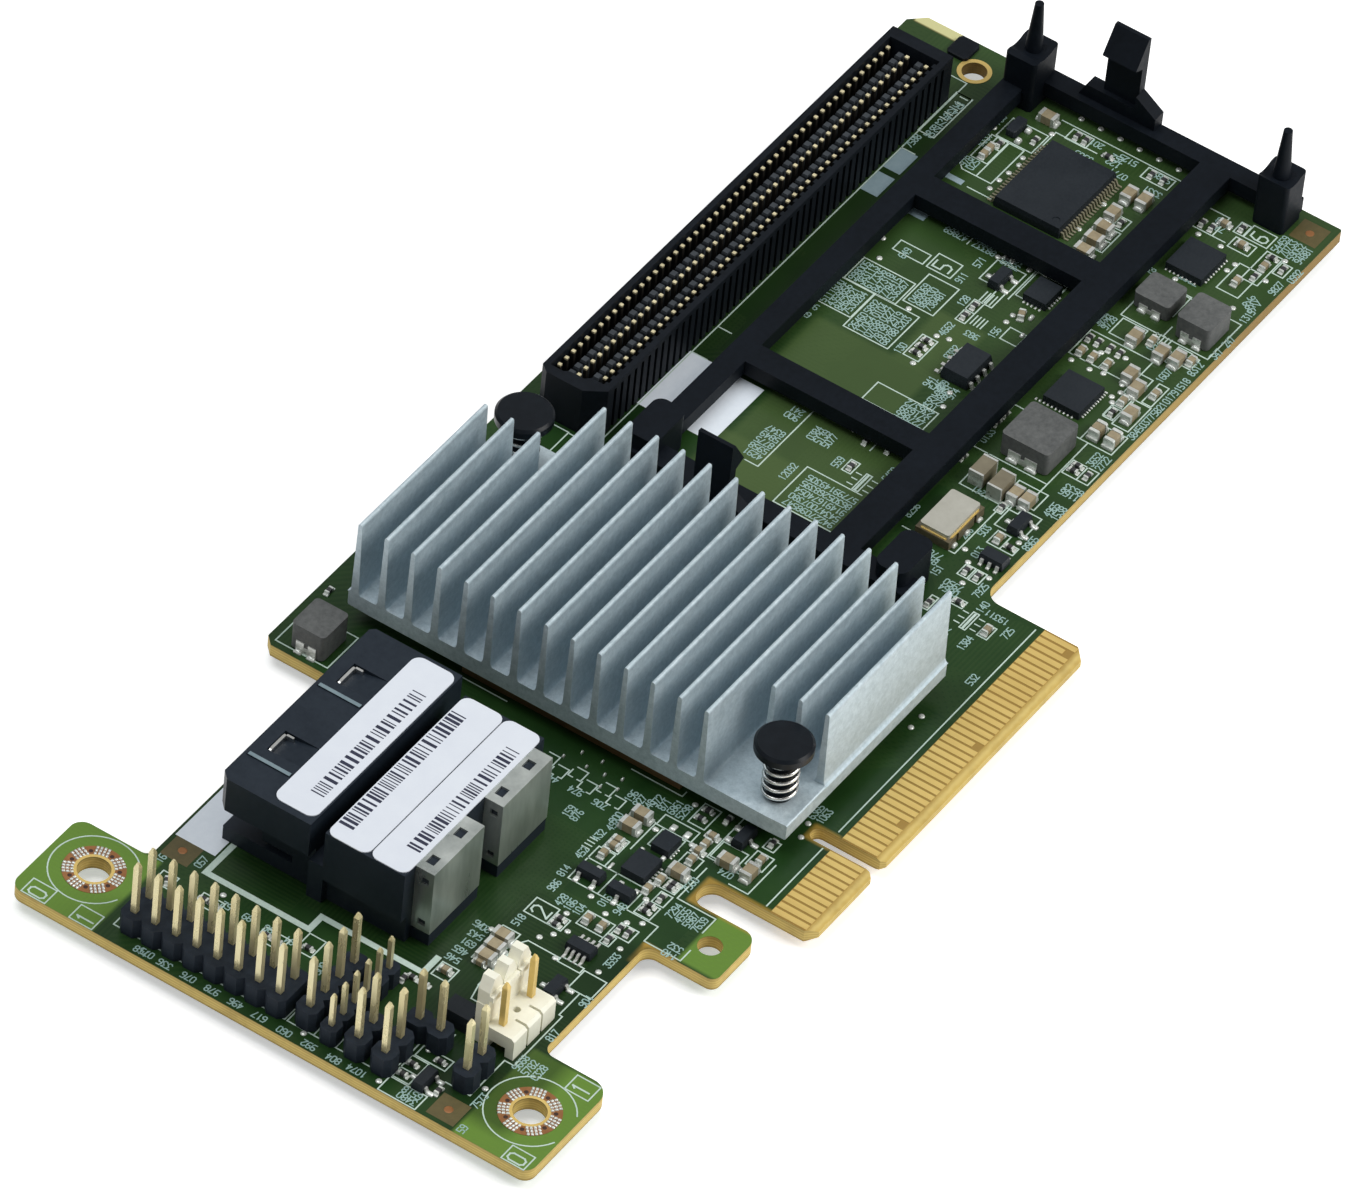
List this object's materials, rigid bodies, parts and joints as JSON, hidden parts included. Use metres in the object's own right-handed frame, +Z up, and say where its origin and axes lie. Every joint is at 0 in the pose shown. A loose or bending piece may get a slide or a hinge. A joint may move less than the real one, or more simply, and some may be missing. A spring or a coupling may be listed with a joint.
{
  "type": "storage controller card",
  "caption": "Flat low-profile storage controller card with edge contacts, finned heatsink, cable ports, pin headers, stacking connector and a snap-in module frame.",
  "frame": {"origin": "centre line of the key notch (X), outer edge of the edge contacts (Y), component-side surface of the board (Z)", "axes": "+X along the board away from the bracket end, +Y from the edge contacts to the top edge, +Z up from the component side"},
  "size_m": [0.166, 0.0676, 0.0174],
  "materials": {
    "circuit_board": "satin",
    "edge_contacts_front": "satin",
    "edge_contacts_back": "satin",
    "heatsink": "satin",
    "push_pins": "matte",
    "pin_springs": "bright",
    "controller_package": "matte",
    "controller_lid": "satin",
    "thermal_pad": "matte",
    "main_header_block": "matte",
    "main_header_pins": "satin",
    "row_header_block": "matte",
    "row_header_pins": "satin",
    "fine_header_block": "matte",
    "fine_header_pins": "satin",
    "pair_header_blocks": "matte",
    "pair_header_pins": "satin",
    "fan_header_body": "matte",
    "fan_header_pins": "satin",
    "port_housing": "matte",
    "port_contacts": "satin",
    "port_shell_1": "satin",
    "port_shell_2": "satin",
    "port_tail_blocks": "matte",
    "module_frame": "matte",
    "stack_housing": "matte",
    "stack_contacts": "satin",
    "port_label_front": "satin",
    "port_label_middle": "satin",
    "port_label_rear": "satin",
    "logic_chip_body": "matte",
    "logic_chip_leads": "satin",
    "switch_chip_body": "matte",
    "switch_chip_leads": "satin",
    "driver_chip_body": "matte",
    "driver_chip_leads": "satin",
    "gate_chip_body": "matte",
    "gate_chip_leads": "satin",
    "transistor_bodies": "matte",
    "transistor_leads": "satin",
    "regulator_bodies": "matte",
    "small_flat_bodies": "matte",
    "mini_flat_body": "matte",
    "fuse_body": "matte",
    "inductor_large": "matte",
    "inductor_tall": "matte",
    "inductor_medium": "matte",
    "inductor_low": "matte",
    "inductor_clips": "satin",
    "oscillator_base": "matte",
    "oscillator_lid": "satin",
    "tall_capacitor_bodies": "matte",
    "tall_capacitor_ends": "satin",
    "chip_capacitor_bodies": "matte",
    "chip_capacitor_ends": "satin"
  },
  "bodies": {
    "root": {"circuit_board": "circuit_board", "edge_contacts_front": "edge_contacts_front", "edge_contacts_back": "edge_contacts_back", "heatsink": "heatsink", "push_pins": "push_pins", "pin_springs": "pin_springs", "controller_package": "controller_package", "controller_lid": "controller_lid", "thermal_pad": "thermal_pad", "main_header_block": "main_header_block", "main_header_pins": "main_header_pins", "row_header_block": "row_header_block", "row_header_pins": "row_header_pins", "fine_header_block": "fine_header_block", "fine_header_pins": "fine_header_pins", "pair_header_blocks": "pair_header_blocks", "pair_header_pins": "pair_header_pins", "fan_header_body": "fan_header_body", "fan_header_pins": "fan_header_pins", "port_housing": "port_housing", "port_contacts": "port_contacts", "port_shell_1": "port_shell_1", "port_shell_2": "port_shell_2", "port_tail_blocks": "port_tail_blocks", "module_frame": "module_frame", "stack_housing": "stack_housing", "stack_contacts": "stack_contacts", "port_label_front": "port_label_front", "port_label_middle": "port_label_middle", "port_label_rear": "port_label_rear", "logic_chip_body": "logic_chip_body", "logic_chip_leads": "logic_chip_leads", "switch_chip_body": "switch_chip_body", "switch_chip_leads": "switch_chip_leads", "driver_chip_body": "driver_chip_body", "driver_chip_leads": "driver_chip_leads", "gate_chip_body": "gate_chip_body", "gate_chip_leads": "gate_chip_leads", "transistor_bodies": "transistor_bodies", "transistor_leads": "transistor_leads", "regulator_bodies": "regulator_bodies", "small_flat_bodies": "small_flat_bodies", "mini_flat_body": "mini_flat_body", "fuse_body": "fuse_body", "inductor_large": "inductor_large", "inductor_tall": "inductor_tall", "inductor_medium": "inductor_medium", "inductor_low": "inductor_low", "inductor_clips": "inductor_clips", "oscillator_base": "oscillator_base", "oscillator_lid": "oscillator_lid", "tall_capacitor_bodies": "tall_capacitor_bodies", "tall_capacitor_ends": "tall_capacitor_ends", "chip_capacitor_bodies": "chip_capacitor_bodies", "chip_capacitor_ends": "chip_capacitor_ends"}
  },
  "joints": []
}
